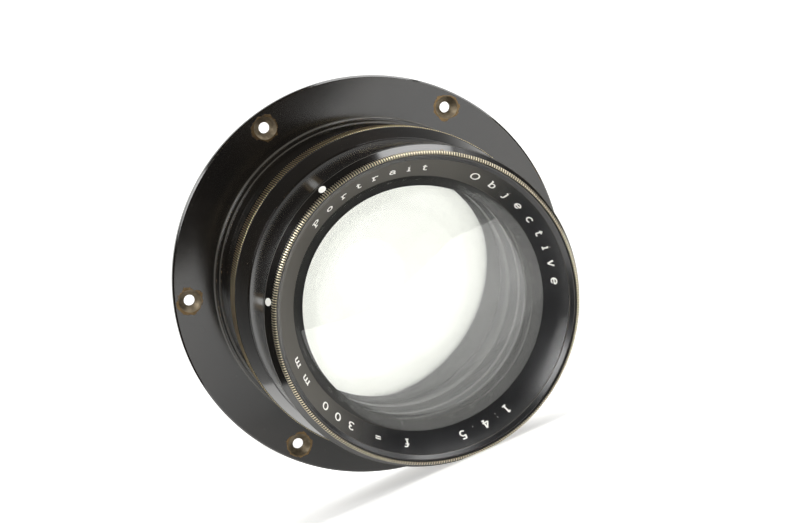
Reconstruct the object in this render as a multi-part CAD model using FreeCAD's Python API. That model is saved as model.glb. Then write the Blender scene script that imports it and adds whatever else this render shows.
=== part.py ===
import FreeCAD, Part
import math
import os

from FreeCAD import Vector

# Brass portrait lens, 300 mm f/4.5, in a lens-board flange. Millimetres.
#
# Every piece is drawn lying on its back: the optical axis is +Z, "a" is the
# distance in front of the flange's rear face, and angles run anticlockwise as
# seen from the front. export() then turns the piece so that the front faces -Y
# and the angle of 90 degrees points along +Z.

# ---- driving dimensions -------------------------------------------------
# Mounting flange
FLANGE_RADIUS = 62.0
FLANGE_THICKNESS = 3.0
FLANGE_EDGE_CHAMFER = 0.5
BOSS_RADIUS = 49.0
BOSS_STEP_RADIUS = 47.8
BOSS_STEP_A = 4.8
BOSS_FRONT_A = 6.5
BOLT_CIRCLE_RADIUS = 57.0
BOLT_COUNT = 6
FIRST_BOLT_ANGLE = 45.0
BOLT_HOLE_RADIUS = 1.7
COUNTERSINK_RADIUS = 3.5

# Main barrel
BARREL_REAR_A = -8.0
PILOT_RADIUS = 44.0
MOUNT_THREAD_RADIUS = 44.55
REAR_BARREL_RADIUS = 46.8
REAR_BARREL_FRONT_A = 26.3
REAR_BORE_RADIUS = 41.5
WEB_REAR_A = 22.5
WEB_FRONT_A = 27.0
WEB_BORE_RADIUS = 37.5
JOURNAL_RADIUS = 42.6
IRIS_BORE_RADIUS = 39.7
FRONT_BORE_RADIUS = 40.05
BARREL_FRONT_A = 59.0

# Aperture ring
RUNNING_CLEARANCE = 0.05
RING_REAR_A = 26.5
RING_FRONT_A = 41.9
KNURL_RADIUS = 48.2
KNURL_REAR_CHAMFER = 0.4
KNURL_FRONT_A = 34.5
KNURL_FRONT_CHAMFER = 0.3
RING_NOSE_RADIUS = 45.3

# Front barrel
FRONT_BARREL_RADIUS = 45.1
FRONT_BARREL_REAR_A = 42.1
FRONT_BARREL_BORE = 43.0
GROOVE_REAR_A = 64.6
GROOVE_DEPTH = 0.3
BEAD_REAR_A = 65.0
BEAD_FRONT_A = 65.8
BEVEL_STEP = 0.2
BEVEL_NOSE_RADIUS = 43.3
FRONT_BARREL_FRONT_A = 68.0
INDEX_ANGLES = (110.4, 155.2)
INDEX_DOT_RADIUS = 1.1
INDEX_DOT_DEPTH = 0.5
INDEX_DOT_PROUD = 0.05

# Front cell and name ring
TOTAL_LENGTH = 71.0
CELL_BODY_RADIUS = 40.0
CELL_REAR_A = 36.5
CELL_NECK_RADIUS = 42.95
CELL_RIM_RADIUS = 43.5
CELL_RIM_REAR_A = 68.2
CELL_RIM_REAR_CHAMFER = 0.3
CELL_RIM_FRONT_CHAMFER = 0.6
CELL_RIM_INNER_RADIUS = 42.4
CELL_REAR_BORE = 31.6
NAME_RING_SEAT_A = 62.7
NAME_RING_SEAT_STEP = 1.7
NAME_RING_OUTER_RADIUS = 42.35
NAME_RING_LIP_RADIUS = 42.0
NAME_RING_LIP_A = 70.3
NAME_CONE_RADIUS = 41.0
NAME_CONE_A = 68.8
NAME_RING_STEP = 0.5
NAME_RING_INNER_RADIUS = 35.9

# Glass: vertex places along the axis. A surface radius is positive where the
# surface bulges towards the front.
FRONT_ELEMENT = {"front": (69.1, 82.9), "rear": (57.1, -1593.0), "edge": 37.0}
SECOND_ELEMENT = {"front": (49.0, -163.0), "rear": (45.5, 75.7), "edge": 33.0}
THIRD_ELEMENT = {"front": (24.6, -438.0), "rear": (21.3, 66.7), "edge": 34.0}
REAR_ELEMENT = {"front": (21.28, 66.7), "rear": (5.3, -112.4), "edge": 34.0}
GLASS_CLEARANCE = 0.05
SEAT_CLEARANCE = 0.05
NAME_RING_CLEARANCE = 0.1
SPACER_STEP_A = 53.2
SPACER_LAND = 0.8

# Iris
BLADE_COUNT = 12
BLADE_INNER_RADIUS = 31.0
BLADE_OUTER_RADIUS = 38.6
BLADE_THICKNESS = 0.08
BLADE_SPAN_DEG = 142.0
BLADE_RISE = 4.3
BLADE_DRIVE_END_A = 29.55
PIN_CIRCLE_RADIUS = 36.2
PIN_RADIUS = 0.5
PIVOT_PIN_RECESS = 0.2
DRIVE_PIN_RECESS = 0.3
PAD_RADIUS = 1.6
PAD_THICKNESS = 0.3
IRIS_PLATE_BORE = 31.0
SMALLEST_STOP_RADIUS = 6.2
DRIVE_RING_REAR_A = 27.1
DRIVE_RING_FRONT_A = 29.2
DRIVE_RING_RADIUS = 39.6
DRIVE_SLOT_INNER = 32.8
DRIVE_SLOT_OUTER = 36.5
DRIVE_SLOT_HALF_WIDTH = 1.25
BASE_PLATE_REAR_A = 34.2
BASE_PLATE_FRONT_A = 35.4
BASE_PLATE_RADIUS = 40.0
RETAINER_FRONT_A = 36.4
RETAINER_BORE_RADIUS = 33.0

# Drive screw that joins the aperture ring to the iris drive ring
SCREW_ANGLE = -23.0
SCREW_A = 28.15
SCREW_SHANK_RADIUS = 0.9
SCREW_SHANK_CLEARANCE = 0.15
SCREW_HEAD_RADIUS = 1.6
SCREW_TIP_AT = 38.4
SCREW_HEAD_FROM = 46.2
SCREW_HEAD_TO = 47.6
SCREW_SLOT_WIDTH = 0.5
SCREW_SLOT_DEPTH = 0.6

# Rear cell
REAR_CELL_RIM_RADIUS = 39.0
REAR_CELL_REAR_A = 4.5
REAR_CELL_FRONT_A = 26.9
REAR_CELL_CHAMFER = 0.4
REAR_CELL_SHOULDER_BORE = 33.2
REAR_CELL_THREAD_BORE = 35.6
REAR_RETAINER_BORE = 32.2
REAR_RETAINER_THICKNESS = 2.9
SPANNER_SLOT_WIDTH = 2.0
SPANNER_SLOT_DEPTH = 1.4

# ---- sizes that follow from them ----------------------------------------
# How far a blade swings from fully open to the smallest stop. The blade's arc
# centre leaves the axis by 2 * pin circle * sin(swing / 2).
BLADE_SWING_DEG = 2.0 * math.degrees(
    math.asin((BLADE_INNER_RADIUS - SMALLEST_STOP_RADIUS) / (2.0 * PIN_CIRCLE_RADIUS))
)
RING_TURN_DEG = 2.0 * BLADE_SWING_DEG
BLADE_PIVOT_END_A = BLADE_DRIVE_END_A + BLADE_RISE

AXIS_POINT = Vector(0, 0, 0)
AXIS = Vector(0, 0, 1)
CUT_OVERRUN = 1.0


# ---- helpers ------------------------------------------------------------
def turned(outline):
    """Solid of revolution about the optical axis from (radius, a) corners."""
    corners = [Vector(radius, 0, a) for radius, a in outline]
    face = Part.Face(Part.makePolygon(corners + corners[:1]))
    return face.revolve(AXIS_POINT, AXIS, 360)


def ring(inner, outer, rear_a, front_a):
    """Plain flat ring."""
    return turned([(inner, rear_a), (outer, rear_a), (outer, front_a), (inner, front_a)])


def spun(shape, degrees):
    """Copy of a shape turned about the optical axis."""
    copy = shape.copy()
    copy.rotate(AXIS_POINT, AXIS, degrees)
    return copy


def around(shape, count, first=0.0):
    """Copies of a shape spaced evenly round the axis."""
    return [spun(shape, first + 360.0 * k / count) for k in range(count)]


def sagitta(surface_radius, height):
    """How far a spherical surface falls to the rear at a height off the axis."""
    depth = abs(surface_radius) - math.sqrt(surface_radius**2 - height**2)
    return math.copysign(depth, surface_radius)


def lens_element(glass):
    """Glass element with two spherical faces and a ground cylindrical edge."""
    edge = glass["edge"]
    arcs = []
    rims = []
    for side in ("front", "rear"):
        vertex, surface_radius = glass[side]
        points = [Vector(h, 0, vertex - sagitta(surface_radius, h)) for h in (0, edge / 2, edge)]
        arcs.append(Part.Arc(*points).toShape())
        rims.append(points[2])
    wall = Part.makeLine(rims[0], rims[1])
    axis_line = Part.makeLine(Vector(0, 0, glass["front"][0]), Vector(0, 0, glass["rear"][0]))
    outline = Part.Wire(Part.__sortEdges__([arcs[0], wall, arcs[1], axis_line]))
    return Part.Face(outline).revolve(AXIS_POINT, AXIS, 360)


def surface_a(glass, side, height):
    """Where a glass surface lies along the axis at a height off it."""
    vertex, surface_radius = glass[side]
    return vertex - sagitta(surface_radius, height)


def radial_rod(radius, from_r, to_r, a, angle):
    """Rod that points away from the optical axis."""
    rod = Part.makeCylinder(radius, to_r - from_r, Vector(from_r, 0, a), Vector(1, 0, 0))
    return spun(rod, angle)


# ---- mount and barrel ---------------------------------------------------
def mounting_flange():
    chamfer = FLANGE_EDGE_CHAMFER
    body = turned([
        (MOUNT_THREAD_RADIUS, 0),
        (FLANGE_RADIUS - chamfer, 0),
        (FLANGE_RADIUS, chamfer),
        (FLANGE_RADIUS, FLANGE_THICKNESS - chamfer),
        (FLANGE_RADIUS - chamfer, FLANGE_THICKNESS),
        (BOSS_RADIUS, FLANGE_THICKNESS),
        (BOSS_RADIUS, BOSS_STEP_A),
        (BOSS_STEP_RADIUS, BOSS_STEP_A),
        (BOSS_STEP_RADIUS, BOSS_FRONT_A),
        (MOUNT_THREAD_RADIUS, BOSS_FRONT_A),
    ])
    place = Vector(BOLT_CIRCLE_RADIUS, 0, -CUT_OVERRUN)
    hole = Part.makeCylinder(BOLT_HOLE_RADIUS, FLANGE_THICKNESS + 2 * CUT_OVERRUN, place)
    sink_depth = COUNTERSINK_RADIUS - BOLT_HOLE_RADIUS
    sink = Part.makeCone(
        BOLT_HOLE_RADIUS,
        COUNTERSINK_RADIUS + CUT_OVERRUN,
        sink_depth + CUT_OVERRUN,
        Vector(BOLT_CIRCLE_RADIUS, 0, FLANGE_THICKNESS - sink_depth),
    )
    return body.cut(around(hole.fuse(sink), BOLT_COUNT, FIRST_BOLT_ANGLE))


def main_barrel():
    body = turned([
        (REAR_BORE_RADIUS, BARREL_REAR_A),
        (PILOT_RADIUS, BARREL_REAR_A),
        (PILOT_RADIUS, 0),
        (MOUNT_THREAD_RADIUS, 0),
        (MOUNT_THREAD_RADIUS, BOSS_FRONT_A),
        (REAR_BARREL_RADIUS, BOSS_FRONT_A),
        (REAR_BARREL_RADIUS, REAR_BARREL_FRONT_A),
        (JOURNAL_RADIUS, REAR_BARREL_FRONT_A),
        (JOURNAL_RADIUS, BARREL_FRONT_A),
        (FRONT_BORE_RADIUS, BARREL_FRONT_A),
        (FRONT_BORE_RADIUS, BASE_PLATE_REAR_A),
        (IRIS_BORE_RADIUS, BASE_PLATE_REAR_A),
        (IRIS_BORE_RADIUS, WEB_FRONT_A),
        (WEB_BORE_RADIUS, WEB_FRONT_A),
        (WEB_BORE_RADIUS, WEB_REAR_A),
        (REAR_BORE_RADIUS, WEB_REAR_A),
    ])
    return body.cut(screw_travel_slot())


def screw_travel_slot():
    """Slot through the barrel wall along which the drive screw travels."""
    rod_radius = SCREW_SHANK_RADIUS + SCREW_SHANK_CLEARANCE
    inner = IRIS_BORE_RADIUS - CUT_OVERRUN
    outer = JOURNAL_RADIUS + CUT_OVERRUN
    outline = [
        (inner, SCREW_A - rod_radius),
        (outer, SCREW_A - rod_radius),
        (outer, SCREW_A + rod_radius),
        (inner, SCREW_A + rod_radius),
    ]
    corners = [Vector(radius, 0, a) for radius, a in outline]
    face = Part.Face(Part.makePolygon(corners + corners[:1]))
    slot = spun(face.revolve(AXIS_POINT, AXIS, RING_TURN_DEG), SCREW_ANGLE)
    ends = [radial_rod(rod_radius, inner, outer, SCREW_A, SCREW_ANGLE + turn)
            for turn in (0.0, RING_TURN_DEG)]
    return slot.fuse(ends)


def aperture_ring():
    bore = JOURNAL_RADIUS + RUNNING_CLEARANCE
    body = turned([
        (bore, RING_REAR_A),
        (KNURL_RADIUS - KNURL_REAR_CHAMFER, RING_REAR_A),
        (KNURL_RADIUS, RING_REAR_A + KNURL_REAR_CHAMFER),
        (KNURL_RADIUS, KNURL_FRONT_A - KNURL_FRONT_CHAMFER),
        (KNURL_RADIUS - KNURL_FRONT_CHAMFER, KNURL_FRONT_A),
        (RING_NOSE_RADIUS, RING_FRONT_A),
        (bore, RING_FRONT_A),
    ])
    clearance = radial_rod(
        SCREW_SHANK_RADIUS, bore - CUT_OVERRUN, SCREW_HEAD_FROM, SCREW_A, SCREW_ANGLE
    )
    head_room = radial_rod(
        SCREW_HEAD_RADIUS + RUNNING_CLEARANCE, SCREW_HEAD_FROM, KNURL_RADIUS + CUT_OVERRUN,
        SCREW_A, SCREW_ANGLE,
    )
    return body.cut([clearance, head_room])


def drive_screw():
    shank = radial_rod(SCREW_SHANK_RADIUS, SCREW_TIP_AT, SCREW_HEAD_FROM, SCREW_A, SCREW_ANGLE)
    head = radial_rod(SCREW_HEAD_RADIUS, SCREW_HEAD_FROM, SCREW_HEAD_TO, SCREW_A, SCREW_ANGLE)
    slot = Part.makeBox(
        SCREW_SLOT_DEPTH + CUT_OVERRUN,
        2 * (SCREW_HEAD_RADIUS + CUT_OVERRUN),
        SCREW_SLOT_WIDTH,
        Vector(
            SCREW_HEAD_TO - SCREW_SLOT_DEPTH,
            -SCREW_HEAD_RADIUS - CUT_OVERRUN,
            SCREW_A - SCREW_SLOT_WIDTH / 2,
        ),
    )
    return shank.fuse(head).cut(spun(slot, SCREW_ANGLE))


def index_dot(extra=0.0):
    """Enamel-filled index mark, square to the front barrel's bevel."""
    rear = Vector(FRONT_BARREL_RADIUS - BEVEL_STEP, 0, BEAD_FRONT_A)
    nose = Vector(BEVEL_NOSE_RADIUS, 0, FRONT_BARREL_FRONT_A)
    along = nose - rear
    outward = Vector(along.z, 0, -along.x).normalize()
    start = (rear + nose) * 0.5 - outward * INDEX_DOT_DEPTH
    return Part.makeCylinder(INDEX_DOT_RADIUS, INDEX_DOT_DEPTH + INDEX_DOT_PROUD + extra,
                             start, outward)


def front_barrel():
    body = turned([
        (JOURNAL_RADIUS, FRONT_BARREL_REAR_A),
        (FRONT_BARREL_RADIUS, FRONT_BARREL_REAR_A),
        (FRONT_BARREL_RADIUS, GROOVE_REAR_A),
        (FRONT_BARREL_RADIUS - GROOVE_DEPTH, GROOVE_REAR_A),
        (FRONT_BARREL_RADIUS - GROOVE_DEPTH, BEAD_REAR_A),
        (FRONT_BARREL_RADIUS, BEAD_REAR_A),
        (FRONT_BARREL_RADIUS, BEAD_FRONT_A),
        (FRONT_BARREL_RADIUS - BEVEL_STEP, BEAD_FRONT_A),
        (BEVEL_NOSE_RADIUS, FRONT_BARREL_FRONT_A),
        (FRONT_BARREL_BORE, FRONT_BARREL_FRONT_A),
        (FRONT_BARREL_BORE, BARREL_FRONT_A),
        (JOURNAL_RADIUS, BARREL_FRONT_A),
    ])
    return body.cut([spun(index_dot(CUT_OVERRUN), angle) for angle in INDEX_ANGLES])


def index_dots():
    return Part.makeCompound([spun(index_dot(), angle) for angle in INDEX_ANGLES])


# ---- front group --------------------------------------------------------
def front_cell():
    first = FRONT_ELEMENT["edge"] + GLASS_CLEARANCE
    second = SECOND_ELEMENT["edge"] + GLASS_CLEARANCE
    second_seat_a = surface_a(SECOND_ELEMENT, "rear", SECOND_ELEMENT["edge"]) - SEAT_CLEARANCE
    return turned([
        (CELL_REAR_BORE, CELL_REAR_A),
        (CELL_BODY_RADIUS, CELL_REAR_A),
        (CELL_BODY_RADIUS, BARREL_FRONT_A + SEAT_CLEARANCE),
        (CELL_NECK_RADIUS, BARREL_FRONT_A + SEAT_CLEARANCE),
        (CELL_NECK_RADIUS, CELL_RIM_REAR_A),
        (CELL_RIM_RADIUS - CELL_RIM_REAR_CHAMFER, CELL_RIM_REAR_A),
        (CELL_RIM_RADIUS, CELL_RIM_REAR_A + CELL_RIM_REAR_CHAMFER),
        (CELL_RIM_RADIUS, TOTAL_LENGTH - CELL_RIM_FRONT_CHAMFER),
        (CELL_RIM_RADIUS - CELL_RIM_FRONT_CHAMFER, TOTAL_LENGTH),
        (CELL_RIM_INNER_RADIUS, TOTAL_LENGTH),
        (CELL_RIM_INNER_RADIUS, NAME_RING_SEAT_A),
        (first + NAME_RING_SEAT_STEP, NAME_RING_SEAT_A),
        (first, surface_a(FRONT_ELEMENT, "front", FRONT_ELEMENT["edge"]) - NAME_RING_CLEARANCE),
        (first, SPACER_STEP_A),
        (second, SPACER_STEP_A),
        (second, second_seat_a),
        (CELL_REAR_BORE, second_seat_a),
    ])


def spacer_ring():
    outer = SECOND_ELEMENT["edge"]
    inner = outer - SPACER_LAND
    top = surface_a(FRONT_ELEMENT, "rear", inner) - SEAT_CLEARANCE
    return turned([
        (inner, surface_a(SECOND_ELEMENT, "front", inner) + SEAT_CLEARANCE),
        (outer, surface_a(SECOND_ELEMENT, "front", outer) + SEAT_CLEARANCE),
        (outer, SPACER_STEP_A + SEAT_CLEARANCE),
        (FRONT_ELEMENT["edge"], SPACER_STEP_A + SEAT_CLEARANCE),
        (FRONT_ELEMENT["edge"], top),
        (inner, top),
    ])


def name_ring():
    edge = FRONT_ELEMENT["edge"]
    inner = NAME_RING_INNER_RADIUS
    seat_a = NAME_RING_SEAT_A + NAME_RING_CLEARANCE
    return turned([
        (inner, surface_a(FRONT_ELEMENT, "front", inner) + SEAT_CLEARANCE),
        (NAME_CONE_RADIUS, NAME_CONE_A),
        (NAME_CONE_RADIUS, NAME_CONE_A + NAME_RING_STEP),
        (NAME_RING_LIP_RADIUS, NAME_RING_LIP_A),
        (NAME_RING_OUTER_RADIUS, NAME_RING_LIP_A),
        (NAME_RING_OUTER_RADIUS, seat_a),
        (edge + NAME_RING_SEAT_STEP - NAME_RING_CLEARANCE, seat_a),
        (edge, surface_a(FRONT_ELEMENT, "front", edge) + NAME_RING_CLEARANCE),
    ])


# ---- rear group ---------------------------------------------------------
def rear_cell():
    bore = REAR_ELEMENT["edge"] + GLASS_CLEARANCE
    shoulder_a = surface_a(THIRD_ELEMENT, "front", THIRD_ELEMENT["edge"]) + SEAT_CLEARANCE
    thread_a = surface_a(REAR_ELEMENT, "rear", REAR_ELEMENT["edge"])
    return turned([
        (REAR_CELL_SHOULDER_BORE, shoulder_a),
        (REAR_CELL_SHOULDER_BORE, REAR_CELL_FRONT_A),
        (WEB_BORE_RADIUS - SEAT_CLEARANCE, REAR_CELL_FRONT_A),
        (WEB_BORE_RADIUS - SEAT_CLEARANCE, WEB_REAR_A - SEAT_CLEARANCE),
        (REAR_CELL_RIM_RADIUS, WEB_REAR_A - SEAT_CLEARANCE),
        (REAR_CELL_RIM_RADIUS, REAR_CELL_REAR_A + REAR_CELL_CHAMFER),
        (REAR_CELL_RIM_RADIUS - REAR_CELL_CHAMFER, REAR_CELL_REAR_A),
        (REAR_CELL_THREAD_BORE, REAR_CELL_REAR_A),
        (REAR_CELL_THREAD_BORE, thread_a),
        (bore, thread_a),
        (bore, shoulder_a),
    ])


def rear_retaining_ring():
    front_a = surface_a(REAR_ELEMENT, "rear", REAR_RETAINER_BORE) - SEAT_CLEARANCE
    rear_a = front_a - REAR_RETAINER_THICKNESS
    outer = REAR_CELL_THREAD_BORE - SEAT_CLEARANCE
    body = ring(REAR_RETAINER_BORE, outer, rear_a, front_a)
    slot = Part.makeBox(
        2 * REAR_CELL_THREAD_BORE + 2 * CUT_OVERRUN,
        SPANNER_SLOT_WIDTH,
        SPANNER_SLOT_DEPTH + CUT_OVERRUN,
        Vector(
            -REAR_CELL_THREAD_BORE - CUT_OVERRUN,
            -SPANNER_SLOT_WIDTH / 2,
            rear_a - CUT_OVERRUN,
        ),
    )
    return body.cut(slot)


# ---- iris ---------------------------------------------------------------
def iris_blade():
    """Thin crescent that climbs like a stair from its drive end to its pivot end.

    Each blade passes over one neighbour and under the other, so a full set lies
    round the opening without touching.
    """
    pitch = BLADE_RISE * 360.0 / BLADE_SPAN_DEG
    helix = Part.makeHelix(pitch, BLADE_RISE, BLADE_INNER_RADIUS)
    half = BLADE_THICKNESS / 2
    section = Part.makePolygon([
        Vector(BLADE_INNER_RADIUS, 0, -half),
        Vector(BLADE_OUTER_RADIUS, 0, -half),
        Vector(BLADE_OUTER_RADIUS, 0, half),
        Vector(BLADE_INNER_RADIUS, 0, half),
        Vector(BLADE_INNER_RADIUS, 0, -half),
    ])
    strip = Part.Wire(helix.Edges).makePipeShell([section], True, True)
    # The helix climbs anticlockwise from angle 0; mirrored, it falls that way.
    strip = strip.mirror(AXIS_POINT, AXIS)
    strip.translate(Vector(0, 0, BLADE_PIVOT_END_A))

    pivot = Vector(PIN_CIRCLE_RADIUS, 0, BLADE_PIVOT_END_A)
    drive = Vector(PIN_CIRCLE_RADIUS, 0, BLADE_DRIVE_END_A)
    pad_drop = Vector(0, 0, -PAD_THICKNESS / 2)
    pivot_pad = Part.makeCylinder(PAD_RADIUS, PAD_THICKNESS, pivot + pad_drop)
    pivot_pin = Part.makeCylinder(
        PIN_RADIUS,
        BASE_PLATE_FRONT_A - PIVOT_PIN_RECESS - pivot.z,
        pivot,
    )
    drive_pad = spun(Part.makeCylinder(PAD_RADIUS, PAD_THICKNESS, drive + pad_drop),
                     BLADE_SPAN_DEG)
    drive_pin = Part.makeCylinder(
        PIN_RADIUS,
        drive.z - DRIVE_RING_REAR_A - DRIVE_PIN_RECESS,
        Vector(PIN_CIRCLE_RADIUS, 0, DRIVE_RING_REAR_A + DRIVE_PIN_RECESS),
    )
    return strip.fuse([pivot_pad, pivot_pin, drive_pad, spun(drive_pin, BLADE_SPAN_DEG)])


def iris_drive_ring():
    body = ring(IRIS_PLATE_BORE, DRIVE_RING_RADIUS, DRIVE_RING_REAR_A, DRIVE_RING_FRONT_A)
    thickness = DRIVE_RING_FRONT_A - DRIVE_RING_REAR_A
    low_a = DRIVE_RING_REAR_A - CUT_OVERRUN
    height = thickness + 2 * CUT_OVERRUN
    slot = Part.makeBox(
        DRIVE_SLOT_OUTER - DRIVE_SLOT_INNER,
        2 * DRIVE_SLOT_HALF_WIDTH,
        height,
        Vector(DRIVE_SLOT_INNER, -DRIVE_SLOT_HALF_WIDTH, low_a),
    )
    for end in (DRIVE_SLOT_INNER, DRIVE_SLOT_OUTER):
        slot = slot.fuse(Part.makeCylinder(DRIVE_SLOT_HALF_WIDTH, height, Vector(end, 0, low_a)))
    tapped = radial_rod(
        SCREW_SHANK_RADIUS, SCREW_TIP_AT, DRIVE_RING_RADIUS + CUT_OVERRUN, SCREW_A, SCREW_ANGLE
    )
    return body.cut(around(slot, BLADE_COUNT, BLADE_SPAN_DEG) + [tapped])


def iris_base_plate():
    body = ring(IRIS_PLATE_BORE, BASE_PLATE_RADIUS, BASE_PLATE_REAR_A, BASE_PLATE_FRONT_A)
    hole = Part.makeCylinder(
        PIN_RADIUS + RUNNING_CLEARANCE,
        BASE_PLATE_FRONT_A - BASE_PLATE_REAR_A + 2 * CUT_OVERRUN,
        Vector(PIN_CIRCLE_RADIUS, 0, BASE_PLATE_REAR_A - CUT_OVERRUN),
    )
    return body.cut(around(hole, BLADE_COUNT))


def iris_retaining_ring():
    rear_a = BASE_PLATE_FRONT_A + SEAT_CLEARANCE
    return ring(RETAINER_BORE_RADIUS, BASE_PLATE_RADIUS, rear_a, RETAINER_FRONT_A)


# ---- output -------------------------------------------------------------
def export(node, shape):
    """Turn a piece so that the front faces -Y, and write it."""
    placed = shape.copy()
    placed.rotate(AXIS_POINT, Vector(1, 0, 0), 90)
    if not placed.isValid():
        raise ValueError("invalid solid: " + node)
    placed.exportStep("parts/" + node + ".step")


def main():
    os.makedirs("parts", exist_ok=True)
    pieces = {
        "mounting_flange": mounting_flange(),
        "main_barrel": main_barrel(),
        "aperture_ring": aperture_ring(),
        "drive_screw": drive_screw(),
        "front_barrel": front_barrel(),
        "index_dots": index_dots(),
        "front_cell": front_cell(),
        "name_ring": name_ring(),
        "front_element": lens_element(FRONT_ELEMENT),
        "spacer_ring": spacer_ring(),
        "second_element": lens_element(SECOND_ELEMENT),
        "iris_retaining_ring": iris_retaining_ring(),
        "iris_base_plate": iris_base_plate(),
        "iris_drive_ring": iris_drive_ring(),
        "rear_cell": rear_cell(),
        "third_element": lens_element(THIRD_ELEMENT),
        "rear_element": lens_element(REAR_ELEMENT),
        "rear_retaining_ring": rear_retaining_ring(),
    }
    blade = iris_blade()
    for number, placed in enumerate(around(blade, BLADE_COUNT), start=1):
        pieces["iris_blade_%02d" % number] = placed
    for node, shape in pieces.items():
        export(node, shape)
    print("blade swing %.4f deg, ring turn %.4f deg" % (BLADE_SWING_DEG, RING_TURN_DEG))


main()
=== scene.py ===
"""Brass portrait lens in black lacquer: visual model, materials, light and camera.

Lengths are written in millimetres and turned into metres where a mesh is made. The
lens lies along the frame's -Y axis. A place on it is (radius, a, angle): radius from
the optical axis, a in front of the flange's rear face, and the angle anticlockwise
from +X as seen from the front.
"""

import math
from collections import namedtuple

import bpy
import bmesh
from mathutils import Matrix, Vector


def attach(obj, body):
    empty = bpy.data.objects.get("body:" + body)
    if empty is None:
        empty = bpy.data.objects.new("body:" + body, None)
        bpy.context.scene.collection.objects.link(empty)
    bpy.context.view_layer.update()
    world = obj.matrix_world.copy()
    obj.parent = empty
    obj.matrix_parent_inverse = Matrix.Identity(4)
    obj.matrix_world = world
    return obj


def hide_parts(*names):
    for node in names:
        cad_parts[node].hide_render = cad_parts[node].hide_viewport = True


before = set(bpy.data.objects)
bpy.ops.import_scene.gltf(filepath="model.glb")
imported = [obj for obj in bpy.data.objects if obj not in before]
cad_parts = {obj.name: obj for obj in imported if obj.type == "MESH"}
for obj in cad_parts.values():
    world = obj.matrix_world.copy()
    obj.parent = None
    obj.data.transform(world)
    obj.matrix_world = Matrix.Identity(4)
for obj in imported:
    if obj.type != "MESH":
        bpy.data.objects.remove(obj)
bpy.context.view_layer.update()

MM = 0.001

# ---- sizes, as on the CAD model ------------------------------------------
FLANGE_RADIUS = 62.0
FLANGE_THICKNESS = 3.0
FLANGE_CHAMFER = 0.5
BOSS_RADIUS = 49.0
BOSS_STEP_RADIUS = 47.8
BOSS_STEP_A = 4.8
BOSS_FRONT_A = 6.5
MOUNT_THREAD_RADIUS = 44.55
BOLT_CIRCLE_RADIUS = 57.0
BOLT_COUNT = 6
FIRST_BOLT_ANGLE = 45.0
BOLT_HOLE_RADIUS = 1.7
COUNTERSINK_RADIUS = 3.5

BARREL_REAR_A = -8.0
PILOT_RADIUS = 44.0
REAR_BARREL_RADIUS = 46.8
REAR_BARREL_FRONT_A = 26.3
REAR_BORE_RADIUS = 41.5
WEB_REAR_A = 22.5
WEB_FRONT_A = 27.0
WEB_BORE_RADIUS = 37.5
JOURNAL_RADIUS = 42.6
IRIS_BORE_RADIUS = 39.7
BASE_PLATE_REAR_A = 34.2
FRONT_BORE_RADIUS = 40.05
BARREL_FRONT_A = 59.0
SCREW_ANGLE = -23.0
SCREW_A = 28.15
SCREW_SLOT_RADIUS = 1.05
SCREW_SHANK_RADIUS = 0.9
SCREW_HEAD_HOLE_RADIUS = 1.65
SCREW_HEAD_FROM = 46.2

RING_BORE_RADIUS = 42.65
RING_REAR_A = 26.5
RING_FRONT_A = 41.9
KNURL_RADIUS = 48.2
KNURL_FRONT_A = 34.5
KNURL_REAR_CHAMFER = 0.4
KNURL_FRONT_CHAMFER = 0.3
RING_NOSE_RADIUS = 45.3

FRONT_BARREL_RADIUS = 45.1
FRONT_BARREL_REAR_A = 42.1
FRONT_BARREL_BORE = 43.0
GROOVE_REAR_A = 64.6
GROOVE_DEPTH = 0.3
BEAD_REAR_A = 65.0
BEAD_FRONT_A = 65.8
BEVEL_STEP = 0.2
BEVEL_NOSE_RADIUS = 43.3
FRONT_BARREL_FRONT_A = 68.0
INDEX_ANGLES = (110.4, 155.2)
INDEX_DOT_RADIUS = 1.1
INDEX_DOT_DEPTH = 0.3

TOTAL_LENGTH = 71.0
CELL_BODY_RADIUS = 40.0
CELL_REAR_A = 36.5
CELL_REAR_BORE = 31.6
CELL_NECK_RADIUS = 42.95
CELL_RIM_RADIUS = 43.5
CELL_RIM_REAR_A = 68.2
CELL_RIM_REAR_CHAMFER = 0.3
CELL_RIM_CHAMFER = 0.6
CELL_RIM_INNER_RADIUS = 42.4
NAME_RING_SEAT_A = 62.7
SEAT_CONE_WIDTH = 1.7
NAME_RING_OUTER_RADIUS = 42.35
NAME_RING_LIP_RADIUS = 42.0
NAME_RING_LIP_A = 70.3
NAME_RING_INNER_RADIUS = 35.9
NAME_RING_SKIRT_WIDTH = 1.6
NAME_RING_GAP = 0.1
NAME_CONE_RADIUS = 41.0
NAME_CONE_A = 68.8
NAME_STEP = 0.5

Glass = namedtuple("Glass", "front front_curve rear rear_curve edge index")
FRONT_ELEMENT = Glass(69.1, 82.9, 57.1, -1593.0, 37.0, 1.69)
SECOND_ELEMENT = Glass(49.0, -163.0, 45.5, 75.7, 33.0, 1.54)
THIRD_ELEMENT = Glass(24.6, -438.0, 21.3, 66.7, 34.0, 1.519)
REAR_ELEMENT = Glass(21.28, 66.7, 5.3, -112.4, 34.0, 1.6127)

GLASS_BEVEL = 0.25
SPACER_STEP_A = 53.2
SPACER_WALL = 0.8
BASE_PLATE_RADIUS = 40.0
RETAINER_BORE_RADIUS = 33.0
RETAINER_REAR_A = 35.45
RETAINER_FRONT_A = 36.4
REAR_CELL_RIM_RADIUS = 39.0
REAR_CELL_REAR_A = 4.5
REAR_CELL_FRONT_A = 26.9
REAR_CELL_CHAMFER = 0.4
REAR_CELL_SHOULDER_BORE = 33.2
REAR_CELL_THREAD_BORE = 35.6
REAR_RETAINER_BORE = 32.2
REAR_RETAINER_THICKNESS = 2.9
SPANNER_SLOT_WIDTH = 2.0
SPANNER_SLOT_DEPTH = 1.4

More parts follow.
